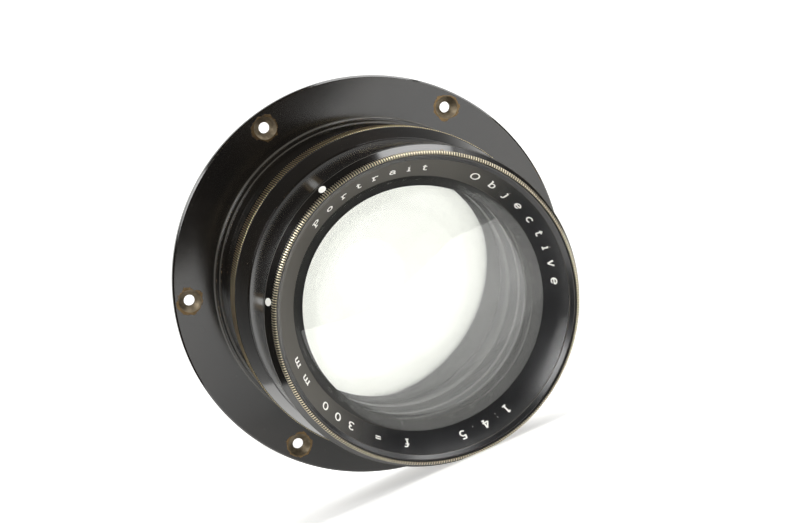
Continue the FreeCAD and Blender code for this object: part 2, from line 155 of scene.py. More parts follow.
CLEARANCE = 0.05
FOCAL_LENGTH = 300.0
IRIS_MAGNIFICATION = 0.918
FULL_APERTURE_RADIUS = 31.0
BLADE_PIN_CIRCLE = 36.2
RING_TURN = 80.1272

# ---- detail that only the visual model has -------------------------------
COLUMNS = 192
EDGE_ROUND = 0.12
ROUND_STEPS = 3
CORNER_SHARE = 0.4
WEAR_SPREAD = 0.35
WEAR_SHARE = 1.2
LENS_STEPS = 24
WELD_DISTANCE = 0.001
ALONG_THE_CUT = 0.0002
CUT_OVERRUN = 1.0
CUT_RIM_MARGIN = 0.1
EDGE_PAINT_MARGIN = 0.02
RING_TEETH = 444
RIM_TEETH = 384
TOOTH_DEPTH = 0.3
KNURL_BAND_DEPTH = 0.35
RIM_BAND_MARGIN = 0.1
CREST_EDGE = 0.55
TOOTH_ROOT_EDGE = -0.6
SHARP_ANGLE = math.radians(38)

# Slab-serif alphabet for engraving. Capitals are 1 high. A stroke of four numbers is a
# line x0, y0, x1, y1, and one of six is an arc: centre, two radii, and two angles.
STROKES = {
    "P": ((0.18, 0, 0.18, 1), (0, 1, 0.45, 1), (0.18, 0.48, 0.45, 0.48),
          (0.45, 0.74, 0.25, 0.26, 90, -90), (0, 0, 0.38, 0)),
    "O": ((0.4, 0.5, 0.38, 0.5, 0, 360),),
    "a": ((0.25, 0.21, 0.22, 0.21, 0, 360), (0.26, 0.44, 0.22, 0.23, 155, 0),
          (0.48, 0.44, 0.48, 0), (0.48, 0, 0.6, 0)),
    "b": ((0.14, 0, 0.14, 1), (0, 1, 0.14, 1), (0.38, 0.33, 0.24, 0.33, 0, 360)),
    "c": ((0.3, 0.33, 0.27, 0.33, 45, 320),),
    "e": ((0.3, 0.33, 0.27, 0.33, 0, 320), (0.03, 0.33, 0.57, 0.33)),
    "f": ((0.2, 0, 0.2, 0.78), (0.4, 0.78, 0.2, 0.22, 180, 50), (0.04, 0.62, 0.42, 0.62),
          (0.04, 0, 0.36, 0)),
    "i": ((0.18, 0, 0.18, 0.66), (0.04, 0.66, 0.18, 0.66), (0, 0, 0.36, 0),
          (0.17, 0.93, 0.19, 0.93)),
    "j": ((0.3, 0.66, 0.3, -0.08), (0.14, 0.66, 0.3, 0.66), (0.12, -0.08, 0.18, 0.18, 0, -120),
          (0.29, 0.93, 0.31, 0.93)),
    "m": ((0.12, 0, 0.12, 0.66), (0, 0.66, 0.12, 0.66), (0.3, 0.46, 0.18, 0.2, 180, 0),
          (0.48, 0.46, 0.48, 0), (0.66, 0.46, 0.18, 0.2, 180, 0), (0.84, 0.46, 0.84, 0),
          (0.02, 0, 0.22, 0), (0.4, 0, 0.56, 0), (0.76, 0, 0.94, 0)),
    "o": ((0.3, 0.33, 0.27, 0.33, 0, 360),),
    "r": ((0.16, 0, 0.16, 0.66), (0, 0.66, 0.16, 0.66), (0, 0, 0.36, 0),
          (0.4, 0.4, 0.24, 0.26, 180, 40)),
    "t": ((0.22, 0.92, 0.22, 0.16), (0.38, 0.16, 0.16, 0.16, 180, 330),
          (0.04, 0.66, 0.44, 0.66)),
    "v": ((0.06, 0.66, 0.3, 0), (0.3, 0, 0.54, 0.66), (0, 0.66, 0.16, 0.66),
          (0.44, 0.66, 0.6, 0.66)),
    "0": ((0.28, 0.5, 0.26, 0.5, 0, 360),),
    "1": ((0.2, 0, 0.2, 1), (0.02, 0.82, 0.2, 1), (0, 0, 0.4, 0)),
    "2": ((0.26, 0.74, 0.24, 0.26, 165, -35), (0.46, 0.59, 0.03, 0), (0.03, 0, 0.52, 0)),
    "3": ((0.26, 0.76, 0.22, 0.24, 150, -90), (0.26, 0.26, 0.26, 0.26, 90, -150)),
    "4": ((0.4, 0, 0.4, 1), (0.4, 1, 0, 0.3), (0, 0.3, 0.58, 0.3), (0.26, 0, 0.54, 0)),
    "5": ((0.5, 1, 0.12, 1), (0.12, 1, 0.08, 0.54), (0.26, 0.32, 0.26, 0.32, 135, -140)),
    "6": ((0.27, 0.3, 0.25, 0.3, 0, 360), (0.52, 0.3, 0.5, 0.7, 180, 100)),
    "8": ((0.26, 0.76, 0.2, 0.24, 0, 360), (0.26, 0.26, 0.25, 0.26, 0, 360)),
    "9": ((0.27, 0.7, 0.25, 0.3, 0, 360), (0.02, 0.7, 0.5, 0.7, 0, -80)),
    ".": ((0.09, 0.03, 0.11, 0.03),),
    ":": ((0.09, 0.06, 0.11, 0.06), (0.09, 0.58, 0.11, 0.58)),
    "=": ((0, 0.34, 0.52, 0.34), (0, 0.62, 0.52, 0.62)),
}
STROKE_WIDTH = 0.16
STROKE_FLATNESS = 0.3
ARC_STEP = 20.0
SPACE_WIDTH = 0.45

# Lettering. The words are generic.
NAME_RING_TEXTS = (
    ("lettering_top", "Portrait  Objective", 121.0, -12.0),
    ("lettering_bottom", "1:4.5   f = 300 mm", -72.0, -179.0),
)
NAME_LETTER_HEIGHT = 2.95
NAME_LETTER_SHARE = 0.52
STOPS = (4.5, 6.3, 9, 12.5, 18, 22)
SCALE_INDEX_ANGLE = 0.0
SCALE_LETTER_SHARE = 0.5
SCALE_NUMBER_HEIGHT = 2.2
SCALE_NUMBER_PITCH = 1.5
STOP_LINE_SHARES = (0.03, 0.2)
INDEX_LINE_SHARES = (0.01, 0.16)
ENAMEL_LINE_WIDTH = 0.3
ENAMEL_DEPTH = 0.1
ENAMEL_PROUD = 0.02

# Worn patch round each bolt hole: how ragged it is, and the distances from the hole's
# centre where it ends and where it is whole.
HALO_RAGGED = 3.2
HALO_END = 5.8
HALO_WHOLE = 5.4

# Camera and stage
CAMERA_PLACE = (-91.23, -539.81, 116.63)
CAMERA_AIM = (1.61, -35.0, 8.78)
CAMERA_UP = (0.3796, 0.126, 0.9165)
CAMERA_LENS = 82.5
CAMERA_SENSOR = 36.0
FLOOR_OUTLINE = ((-170, -1500), (-170, 175), (-35, 175), (350, 610), (1500, 610), (1500, -1500))
FLOOR_GAP = 0.03
# The floor glows, less near the front rim's foot, which paints a contact shadow there: distances
# from the rim's foot in metres, and the strength at each.
FLOOR_GLOW_AND_CONTACT_SHADOW = (0.02, 0.13, 0.28, 0.86)
ROOM_COLOUR = (0.020, 0.019, 0.018, 1.0)
SWEEP_COLOUR = (1.05, 1.05, 1.03, 1.0)
BACKDROP_COLOUR = (1.30, 1.30, 1.27, 1.0)
SWEEP_BEHIND = (0.62, 0.86)
SWEEP_ABOVE = (0.10, 0.34)
SWEEP_TOP_SHARE = 0.30
# Name, place, aim, width, height, watts, seen in mirrors and through glass, casts shadows.
LAMPS = (
    ("softbox_top", (330, -60, 590), (0, -30, 0), 420, 380, 2.8, True, True),
    ("softbox_left", (-500, -240, 480), (0, -60, 0), 320, 320, 2.4, True, False),
    ("softbox_right", (600, -20, 340), (0, -60, 0), 300, 300, 1.0, True, False),
    ("fill", (200, -900, 500), (0, -60, 0), 600, 600, 6.4, False, True),
)

ROOT = "lens_body"
RING_BODY = "aperture_control"


# ---- geometry helpers ----------------------------------------------------
Corner = namedtuple("Corner", "radius a rounding knurled", defaults=(EDGE_ROUND, False))


def place(radius, a, degrees):
    """Frame point in metres."""
    angle = math.radians(degrees)
    return Vector((radius * math.cos(angle), -a, radius * math.sin(angle))) * MM


def rounded(outline):
    """Outline points with each corner turned into a small arc.

    Returns (radius, a, edge, knurled) for each point. edge is +1 on an outer corner,
    -1 in an inner one and 0 a little way along the flats, so that wear and grime can
    follow it. A corner with no rounding stays one plain point.
    """
    count = len(outline)
    flat = [Vector((c.radius, c.a)) for c in outline]
    area = sum(flat[i].cross(flat[(i + 1) % count]) for i in range(count))
    points = []
    for i, this in enumerate(outline):
        here = flat[i]
        if not this.rounding:
            points.append((here.x, here.y, 0.0, this.knurled))
            continue
        back = flat[i - 1] - here
        ahead = flat[(i + 1) % count] - here
        turn = math.pi - back.angle(ahead)
        outer = (-back).cross(ahead) * area > 0
        edge = 1.0 if outer else -1.0
        room = CORNER_SHARE * min(back.length, ahead.length)
        reach = min(this.rounding * math.tan(turn / 2), room)
        spread = min(reach + WEAR_SPREAD, WEAR_SHARE * room)
        back.normalize()
        ahead.normalize()
        start = here + back * reach
        end = here + ahead * reach
        ends = here + back * spread, here + ahead * spread
        points.append((ends[0].x, ends[0].y, 0.0, this.knurled))
        for step in range(ROUND_STEPS + 1):
            t = step / ROUND_STEPS
            arc = start * (1 - t) ** 2 + here * 2 * t * (1 - t) + end * t**2
            points.append((arc.x, arc.y, edge, this.knurled))
        points.append((ends[1].x, ends[1].y, 0.0, this.knurled))
    return points


def tooth_profile(teeth):
    """Radius drop of each column round a knurled ring: crest, crest, root, root."""
    return [0.0, 0.0, TOOTH_DEPTH, TOOTH_DEPTH] * teeth


def bands(columns, rows, gaps):
    """Faces between neighbouring columns of points. The rows close round on themselves."""
    faces = []
    for column in range(gaps):
        this, following = column * rows, (column + 1) % columns * rows
        for row in range(rows):
            after = (row + 1) % rows
            faces.append((this + row, this + after, following + after, following + row))
    return faces


def turned(name, outline, material, teeth=0):
    """Object of revolution from a closed outline, each corner a tuple as for Corner."""
    points = rounded([Corner(*values) for values in outline])
    drops = tooth_profile(teeth) if teeth else [0.0] * COLUMNS
    columns = len(drops)
    rows = len(points)
    vertices = []
    edges = []
    for column, drop in enumerate(drops):
        degrees = 360.0 * column / columns
        for radius, a, edge, knurled in points:
            sunk = drop if knurled else 0.0
            vertices.append(place(radius - sunk, a, degrees))
            if teeth and knurled:
                edge = TOOTH_ROOT_EDGE if sunk else max(edge, CREST_EDGE)
            edges.append(edge)
    return solid(name, vertices, bands(columns, rows, columns), material, edges)


def calm_cut_rims(piece, centre_radius, count, first_degrees, reach):
    """Set the edge value to 0 near drilled holes, where cutting has mixed it up."""
    centres = [place(centre_radius, 0, first_degrees + 360.0 * number / count)
               for number in range(count)]
    for vertex, value in zip(piece.data.vertices, piece.data.attributes["edge"].data):
        x, _, z = vertex.co
        if any(math.hypot(x - centre.x, z - centre.z) < reach * MM for centre in centres):
            value.value = 0.0


def solid(name, vertices, faces, material, edges=None, close=False):
    """Object with outward normals and clean shading.

    edges are the vertices' edge values. close fills the holes that are left.
    """
    mesh = bpy.data.meshes.new(name)
    mesh.from_pydata(vertices, [], faces)
    if edges:
        mesh.attributes.new("edge", "FLOAT", "POINT").data.foreach_set("value", edges)
    work = bmesh.new()
    work.from_mesh(mesh)
    bmesh.ops.remove_doubles(work, verts=work.verts, dist=WELD_DISTANCE * MM)
    if close:
        bmesh.ops.holes_fill(work, edges=[edge for edge in work.edges if edge.is_boundary])
    bmesh.ops.recalc_face_normals(work, faces=work.faces)
    work.to_mesh(mesh)
    work.free()
    mesh.materials.append(material)
    shade(mesh)
    piece = bpy.data.objects.new(name, mesh)
    bpy.context.scene.collection.objects.link(piece)
    return piece


def box(name, corners, material):
    """Box from eight corners, in the order of three nested loops over two values."""
    faces = [(0, 1, 3, 2), (4, 5, 7, 6), (0, 1, 5, 4), (2, 3, 7, 6), (0, 2, 6, 4), (1, 3, 7, 5)]
    return solid(name, corners, faces, material)


def shade(mesh):
    """Smooth shading that breaks at sharp edges."""
    mesh.polygons.foreach_set("use_smooth", [True] * len(mesh.polygons))
    mesh.set_sharp_from_angle(angle=SHARP_ANGLE)


def weighted(piece):
    """Large flats keep their own normal, and the small arcs beside them turn it."""
    modifier = piece.modifiers.new("flats", "WEIGHTED_NORMAL")
    modifier.keep_sharp = True
    modifier.weight = 100
    applied(piece)


def applied(piece):
    """Bake the modifiers of a piece into its mesh."""
    graph = bpy.context.evaluated_depsgraph_get()
    old = piece.data
    made = bpy.data.meshes.new_from_object(piece.evaluated_get(graph))
    piece.modifiers.clear()
    piece.data = made
    made.name = piece.name
    bpy.data.meshes.remove(old)


def carved(piece, cutters):
    """Cut shapes out of a piece. The cut faces keep the cutter's material."""
    for cutter in cutters:
        modifier = piece.modifiers.new("cut", "BOOLEAN")
        modifier.operation = "DIFFERENCE"
        modifier.solver = "EXACT"
        modifier.material_mode = "TRANSFER"
        modifier.object = cutter
    applied(piece)
    for cutter in cutters:
        bpy.data.objects.remove(cutter)
    shade(piece.data)


def lathe_about(name, start, direction, outline, material, columns=40):
    """Solid of revolution about any line. outline is (radius, height) from the
    foot of the line to its top, and both ends are closed on the line."""
    turn = Vector((0, 0, 1)).rotation_difference(direction).to_matrix()
    vertices = []
    for column in range(columns):
        angle = math.tau * column / columns
        for radius, height in outline:
            local = Vector((radius * math.cos(angle), radius * math.sin(angle), height))
            vertices.append(start + turn @ local * MM)
    rows = len(outline)
    faces = []
    for column in range(columns):
        this, following = column * rows, (column + 1) % columns * rows
        for row in range(rows - 1):
            faces.append((this + row, following + row, following + row + 1, this + row + 1))
    return solid(name, vertices, faces, material, close=True)


def fit(piece, body, slot, *nodes):
    """Ride a finished piece on its body and let it stand for CAD nodes."""
    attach(piece, body)
    if nodes:
        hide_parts(*nodes)


def fit_turned(piece, slot, node, body=ROOT):
    """Settle the normals of a turned piece and let it stand for its CAD node."""
    weighted(piece)
    fit(piece, body, slot, node)


# ---- material helpers ----------------------------------------------------
class Nodes:
    """A node tree, with short calls for the nodes that repeat."""

    def __init__(self, tree):
        self.tree = tree

    def add(self, kind, inputs=(), **properties):
        node = self.tree.nodes.new("ShaderNode" + kind)
        for key, value in properties.items():
            setattr(node, key, value)
        for socket, value in dict(inputs).items():
            self.feed(node.inputs[socket], value)
        return node

    def feed(self, socket, value):
        if isinstance(value, bpy.types.NodeSocket):
            self.tree.links.new(value, socket)
        else:
            socket.default_value = value

    def math(self, operation, first, second=0.0):
        return self.add("Math", {0: first, 1: second}, operation=operation).outputs[0]

    def ramp(self, value, low, high, to_low=0.0, to_high=1.0):
        """Value mapped from low..high to to_low..to_high, and held outside that."""
        inputs = {0: value, 1: low, 2: high, 3: to_low, 4: to_high}
        return self.add("MapRange", inputs, interpolation_type="SMOOTHSTEP").outputs[0]

    def blend(self, factor, first, second):
        node = self.add("Mix", data_type="RGBA")
        self.feed(node.inputs["Factor"], factor)
        for socket, value in ((node.inputs[6], first), (node.inputs[7], second)):
            self.feed(socket, value)
        return node.outputs[2]


class Finish(Nodes):
    """A material."""

    def __init__(self, name):
        self.material = bpy.data.materials.new(name)
        self.material.use_nodes = True
        super().__init__(self.material.node_tree)
        self.surface = self.tree.nodes["Principled BSDF"]

    def set(self, **values):
        """Feed sockets of the shader. An underscore stands for a space."""
        for socket, value in values.items():
            self.feed(self.surface.inputs[socket.replace("_", " ")], value)

    def where(self):
        return self.add("TexCoord").outputs["Object"]

    def noise(self, scale, detail=3.0, roughness=0.55, vector=None):
        node = self.add("TexNoise", {"Scale": scale, "Detail": detail, "Roughness": roughness})
        self.tree.links.new(vector or self.where(), node.inputs["Vector"])
        return node.outputs["Fac"]

    def level(self, factor, first, second):
        return self.ramp(factor, 0.0, 1.0, first, second)

    def edge(self):
        """The edge attribute: +1 on outer corners, -1 in inner ones."""
        return self.add("Attribute", attribute_name="edge").outputs["Fac"]

    def hypot(self, first, second):
        square = self.math("ADD", self.math("MULTIPLY", first, first),
                           self.math("MULTIPLY", second, second))
        return self.math("SQRT", square)

    def axis_place(self):
        """Radius from the optical axis, place along it and angle round it."""
        x, y, z = self.add("SeparateXYZ", {0: self.where()}).outputs
        return self.hypot(x, z), y, self.math("ARCTAN2", z, x)

    def lathe_space(self):
        """Coordinates that vary across a turned surface but barely along the cut."""
        radius, along, angle = self.axis_place()
        around = self.math("MULTIPLY", angle, ALONG_THE_CUT)
        return self.add("CombineXYZ", {0: radius, 1: along, 2: around}).outputs[0]

    def from_bolt_holes(self):
        """Distance in metres from the nearest bolt hole of the flange."""
        radius, _, angle = self.axis_place()
        half = math.pi / BOLT_COUNT
        turn = self.math("SUBTRACT", angle, math.radians(FIRST_BOLT_ANGLE))
        nearest = self.add("Math", {0: turn, 1: half, 2: -half}, operation="WRAP").outputs[0]
        around = self.math("MULTIPLY", nearest, BOLT_CIRCLE_RADIUS * MM)
        return self.hypot(around, self.math("SUBTRACT", radius, BOLT_CIRCLE_RADIUS * MM))

    def bumps(self, *layers):
        """Layers of (height, strength, distance in mm), one on the other."""
        normal = None
        for height, strength, distance in layers:
            node = self.add("Bump", {"Height": height, "Strength": strength,
                                     "Distance": distance * MM})
            if normal:
                self.tree.links.new(normal, node.inputs["Normal"])
            normal = node.outputs["Normal"]
        self.tree.links.new(normal, self.surface.inputs["Normal"])


def shades(*values):
    return tuple(values) + (1.0,)


BRASS_BRIGHT = shades(0.66, 0.49, 0.24)
BRASS_DULL = shades(0.27, 0.185, 0.09)
BRASS_BROWN = shades(0.085, 0.052, 0.026)
LACQUER_BLACK = shades(0.0065, 0.006, 0.0055)
LACQUER_BROWN = shades(0.013, 0.0108, 0.0085)
# Pale grey of dust, also used as a painted sheen where the name ring is seen at a low angle.
DUST_AND_SHEEN = shades(0.16, 0.15, 0.13)


def lacquer(name, roughness, wear, chips=0.0, halo=False):
    """Old black lacquer over brass. wear is how far the edges are rubbed bare.

    chips is how much of the surface is chipped. halo adds a ragged worn patch round each
    bolt hole of the flange.
    """
    finish = Finish(name)
    edge = finish.edge()
    broken = finish.noise(2600.0, 4.0, 0.65)
    patches = finish.noise(55.0, 4.0)
    rubbed = finish.math("ADD", edge, finish.math("MULTIPLY", broken, 0.9))
    patchy = finish.math("ADD", rubbed, finish.math("MULTIPLY", patches, 0.7))
    threshold = 2.35 - wear
    bare = finish.ramp(patchy, threshold, threshold + 0.22)
    if chips:
        spots = finish.noise(420.0, 2.0, 0.5)
        chipped = finish.ramp(spots, 0.80 - chips, 0.82 - chips)
        bare = finish.math("MAXIMUM", bare, chipped)
    if halo:
        ragged = finish.math("MULTIPLY", finish.noise(330.0, 4.0, 0.6), HALO_RAGGED * MM)
        reach = finish.math("ADD", finish.from_bolt_holes(), ragged)
        worn = finish.ramp(reach, HALO_END * MM, HALO_WHOLE * MM)
        bare = finish.math("MAXIMUM", bare, worn)
    cloud = finish.ramp(finish.noise(38.0, 5.0), 0.35, 0.75)
    paint = finish.blend(cloud, LACQUER_BLACK, LACQUER_BROWN)
    specks = finish.ramp(finish.noise(1500.0, 2.0, 0.4), 0.74, 0.80)
    grime = finish.math("MULTIPLY", finish.ramp(edge, 0.0, -1.0), 0.35)
    dusty = finish.math("MAXIMUM", finish.math("MULTIPLY", specks, 0.25), grime)
    paint = finish.blend(dusty, paint, DUST_AND_SHEEN)
    metal = finish.blend(finish.noise(700.0), BRASS_BROWN, BRASS_DULL)
    finish.set(
        Base_Color=finish.blend(bare, paint, metal),
        Metallic=finish.level(bare, 0.0, 0.9),
        Specular_IOR_Level=0.8,
        Roughness=finish.math(
            "ADD",
            finish.level(finish.noise(90.0, 5.0), roughness * 0.8, roughness * 1.25),
            finish.math("MULTIPLY", finish.math("MAXIMUM", bare, dusty), 0.25),
        ),
    )
    lines = finish.noise(5200.0, 2.0, 0.5, finish.lathe_space())
    finish.bumps(
        (lines, 0.06, 0.01),
        (finish.noise(240.0, 2.0), 0.05, 0.02),
        (bare, 0.35, -0.02),
    )
    return finish.material


def knurl_metal(name, paint_left, shine_from, bright):
    """Knurled edge: bare brass crests, dark grime between them.

    Paint is left below the edge value paint_left. Above shine_from the metal turns bright.
    """
    finish = Finish(name)
    edge = finish.edge()
    patches = finish.noise(70.0, 4.0)
    fine = finish.noise(1800.0, 3.0, 0.6)
    crest = finish.math("ADD", edge, finish.math("MULTIPLY", patches, 0.5))
    crest = finish.math("ADD", crest, finish.math("MULTIPLY", fine, 0.3))
    bare = finish.ramp(crest, paint_left, paint_left + 0.5)
    shine = finish.ramp(crest, shine_from, shine_from + 0.3)
    metal = finish.blend(shine, BRASS_DULL, bright)
    finish.set(
        Base_Color=finish.blend(bare, shades(0.012, 0.009, 0.006), metal),
        Metallic=finish.level(bare, 0.1, 0.95),
        Roughness=finish.ramp(shine, 0.0, 1.0, 0.48, 0.30),
    )
    finish.bumps((fine, 0.25, 0.02))
    return finish.material


def bare_brass(name, first, second, roughness):
    """Machined brass that has darkened with age."""
    finish = Finish(name)
    stain = finish.ramp(finish.noise(320.0, 4.0, 0.6), 0.3, 0.72)
    finish.set(
        Base_Color=finish.blend(stain, first, second),
        Metallic=0.9,
        Roughness=finish.level(finish.noise(900.0), roughness * 0.8, roughness * 1.2),
    )
    finish.bumps((finish.noise(4000.0, 2.0, 0.5, finish.lathe_space()), 0.2, 0.01))
    return finish.material


def satin(name, tint, roughness, shine=0.5, painted_sheen=0.0):
    """Satin black of the name ring and of the inner parts, with turning marks.

    painted_sheen is how strongly a pale painted sheen shows where the surface is seen at a low
    angle.
    """
    finish = Finish(name)
    cloud = finish.ramp(finish.noise(45.0, 4.0), 0.3, 0.7)
    edge = finish.edge()
    broken = finish.noise(2200.0, 3.0, 0.6)
    bare = finish.ramp(finish.math("ADD", edge, finish.math("MULTIPLY", broken, 0.8)), 1.36, 1.56)
    paint = finish.blend(cloud, shades(*tint), shades(*[1.7 * part for part in tint]))
    if painted_sheen:
        # Painted sheen: the colour turns pale grey where the surface is seen at a low angle.
        facing = finish.add("LayerWeight", {"Blend": 0.5}).outputs["Facing"]
        sheen_mask = finish.ramp(facing, 0.34, 0.52, 0.0, painted_sheen)
        paint = finish.blend(sheen_mask, paint, DUST_AND_SHEEN)
    finish.set(
        Base_Color=finish.blend(bare, paint, BRASS_BROWN),
        Metallic=finish.level(bare, 0.0, 0.8),
        Roughness=finish.level(finish.noise(150.0, 4.0), roughness * 0.85, roughness * 1.15),
        Specular_IOR_Level=shine,
    )
    lines = finish.noise(4200.0, 2.0, 0.5, finish.lathe_space())
    finish.bumps((lines, 0.06, 0.01), (finish.noise(900.0, 2.0), 0.05, 0.01))
    return finish.material


def blade_steel():
    """Thin blued steel of the iris blades."""
    finish = Finish("blade_steel_blued")
    stain = finish.ramp(finish.noise(130.0, 4.0), 0.35, 0.7)
    finish.set(
        Base_Color=finish.blend(stain, shades(0.035, 0.037, 0.045), shades(0.075, 0.07, 0.068)),
        Metallic=0.85,
        Roughness=finish.level(finish.noise(500.0), 0.32, 0.48),
    )
    finish.bumps((finish.noise(2500.0, 2.0), 0.12, 0.01))
    return finish.material


def enamel():
    """White paint that fills the engraving and the index dots."""
    finish = Finish("white_enamel")
    dirt = finish.ramp(finish.noise(900.0, 4.0, 0.6), 0.55, 0.80)
    finish.set(
        Base_Color=finish.blend(dirt, shades(0.80, 0.79, 0.74), shades(0.42, 0.39, 0.33)),
        Roughness=finish.level(finish.noise(400.0), 0.35, 0.5),
    )
    finish.bumps((finish.noise(1500.0, 2.0), 0.2, 0.02))
    return finish.material


def optical_glass(name, index):
    """Clear polished glass with a trace of haze from old cleaning marks."""
    finish = Finish(name)
    haze = finish.ramp(finish.noise(60.0, 5.0, 0.6), 0.45, 0.85)
    finish.set(
        Base_Color=finish.blend(haze, shades(0.985, 0.99, 0.975), shades(0.955, 0.96, 0.94)),
        Roughness=finish.level(haze, 0.0, 0.002),
        IOR=index,
        Transmission_Weight=1.0,
    )
    finish.bumps((haze, 0.002, 0.001))
    return finish.material


# ---- materials -----------------------------------------------------------
gloss_lacquer = lacquer("lacquer_flange", 0.13, 0.50, halo=True)
barrel_lacquer = lacquer("lacquer_barrel", 0.13, 0.45, 0.02)
ring_knurl = knurl_metal("knurl_ring", 0.35, 0.8, shades(0.92, 0.78, 0.46))
rim_knurl = knurl_metal("knurl_rim", 0.45, 0.7, shades(0.80, 0.72, 0.53))
countersink_brass = bare_brass("brass_countersink", shades(0.13, 0.105, 0.07),
                               shades(0.33, 0.27, 0.185), 0.55)
screw_brass = bare_brass("brass_screw", BRASS_DULL, BRASS_BRIGHT, 0.32)
# The name ring's satin gets a painted sheen at low angles.
name_satin = satin("satin_name_ring", (0.009, 0.009, 0.0095), 0.24, shine=0.8, painted_sheen=0.6)
inner_satin = satin("satin_inside", (0.014, 0.0135, 0.013), 0.42)
edge_paint = satin("black_lens_edge", (0.006, 0.006, 0.006), 0.6)
steel = blade_steel()
white = enamel()


# ---- turned parts --------------------------------------------------------
def sagitta(curve, height):
    depth = abs(curve) - math.sqrt(curve**2 - height**2)
    return math.copysign(depth, curve)


def front_face_a(glass, height):
    return glass.front - sagitta(glass.front_curve, height)


def rear_face_a(glass, height):
    return glass.rear - sagitta(glass.rear_curve, height)


def mounting_flange():
    piece = turned("mounting_flange_body", [
        (MOUNT_THREAD_RADIUS, 0),
        (FLANGE_RADIUS - FLANGE_CHAMFER, 0),
        (FLANGE_RADIUS, FLANGE_CHAMFER),
        (FLANGE_RADIUS, FLANGE_THICKNESS - FLANGE_CHAMFER),
        (FLANGE_RADIUS - FLANGE_CHAMFER, FLANGE_THICKNESS),
        (BOSS_RADIUS, FLANGE_THICKNESS, 0.3),
        (BOSS_RADIUS, BOSS_STEP_A, 0.2),
        (BOSS_STEP_RADIUS, BOSS_STEP_A, 0.1),
        (BOSS_STEP_RADIUS, BOSS_FRONT_A, 0.2),
        (MOUNT_THREAD_RADIUS, BOSS_FRONT_A),
    ], gloss_lacquer)
    sink_depth = COUNTERSINK_RADIUS - BOLT_HOLE_RADIUS
    outline = [
        (0, -CUT_OVERRUN),
        (BOLT_HOLE_RADIUS, -CUT_OVERRUN),
        (BOLT_HOLE_RADIUS, FLANGE_THICKNESS - sink_depth),
        (COUNTERSINK_RADIUS, FLANGE_THICKNESS),
        (COUNTERSINK_RADIUS + CUT_OVERRUN, FLANGE_THICKNESS + CUT_OVERRUN),
        (0, FLANGE_THICKNESS + CUT_OVERRUN),
    ]
    cutters = []
    for number in range(BOLT_COUNT):
        angle = FIRST_BOLT_ANGLE + 360.0 * number / BOLT_COUNT
        foot = place(BOLT_CIRCLE_RADIUS, 0, angle)
        cutters.append(lathe_about("cutter", foot, Vector((0, -1, 0)), outline, countersink_brass))
    carved(piece, cutters)
    calm_cut_rims(piece, BOLT_CIRCLE_RADIUS, BOLT_COUNT, FIRST_BOLT_ANGLE,
                  COUNTERSINK_RADIUS + CUT_RIM_MARGIN)
    fit_turned(piece, "black_lacquer", "mounting_flange")


def main_barrel():
    piece = turned("main_barrel_body", [
        (REAR_BORE_RADIUS, BARREL_REAR_A, 0.3),
        (PILOT_RADIUS, BARREL_REAR_A, 0.3),
        (PILOT_RADIUS, 0),
        (MOUNT_THREAD_RADIUS, 0),
        (MOUNT_THREAD_RADIUS, BOSS_FRONT_A),
        (REAR_BARREL_RADIUS, BOSS_FRONT_A, 0.3),
        (REAR_BARREL_RADIUS, REAR_BARREL_FRONT_A, 0.25),
        (JOURNAL_RADIUS, REAR_BARREL_FRONT_A),
        (JOURNAL_RADIUS, BARREL_FRONT_A),
        (FRONT_BORE_RADIUS, BARREL_FRONT_A),
        (FRONT_BORE_RADIUS, BASE_PLATE_REAR_A),
        (IRIS_BORE_RADIUS, BASE_PLATE_REAR_A),
        (IRIS_BORE_RADIUS, WEB_FRONT_A),
        (WEB_BORE_RADIUS, WEB_FRONT_A),
        (WEB_BORE_RADIUS, WEB_REAR_A),
        (REAR_BORE_RADIUS, WEB_REAR_A, 0.4),
    ], barrel_lacquer)
    inner = IRIS_BORE_RADIUS - CUT_OVERRUN
    outer = JOURNAL_RADIUS + CUT_OVERRUN
    low_a = SCREW_A - SCREW_SLOT_RADIUS
    high_a = SCREW_A + SCREW_SLOT_RADIUS
    section = [(inner, low_a), (outer, low_a), (outer, high_a), (inner, high_a)]
    slot = swept("cutter", section, SCREW_ANGLE, SCREW_ANGLE + RING_TURN, screw_brass)
    ends = [radial_rod(SCREW_SLOT_RADIUS, inner, outer, SCREW_ANGLE + turn)
            for turn in (0.0, RING_TURN)]
    carved(piece, [slot] + ends)
    fit_turned(piece, "black_lacquer", "main_barrel")


def swept(name, section, from_deg, to_deg, material, steps=60):
    """Block swept round the optical axis through part of a turn."""
    rows = len(section)
    vertices = []
    for step in range(steps + 1):
        degrees = from_deg + (to_deg - from_deg) * step / steps
        vertices += [place(radius, a, degrees) for radius, a in section]
    faces = [tuple(range(rows)), tuple(range(steps * rows, (steps + 1) * rows))]
    faces += bands(steps + 1, rows, steps)
    return solid(name, vertices, faces, material)


def radial_rod(radius, from_r, to_r, degrees):
    """Cutter that points away from the axis at the drive screw's height."""
    foot = place(from_r, SCREW_A, degrees)
    outline = [(0, 0), (radius, 0), (radius, to_r - from_r), (0, to_r - from_r)]
    return lathe_about("cutter", foot, place(1, 0, degrees).normalized(), outline, screw_brass)


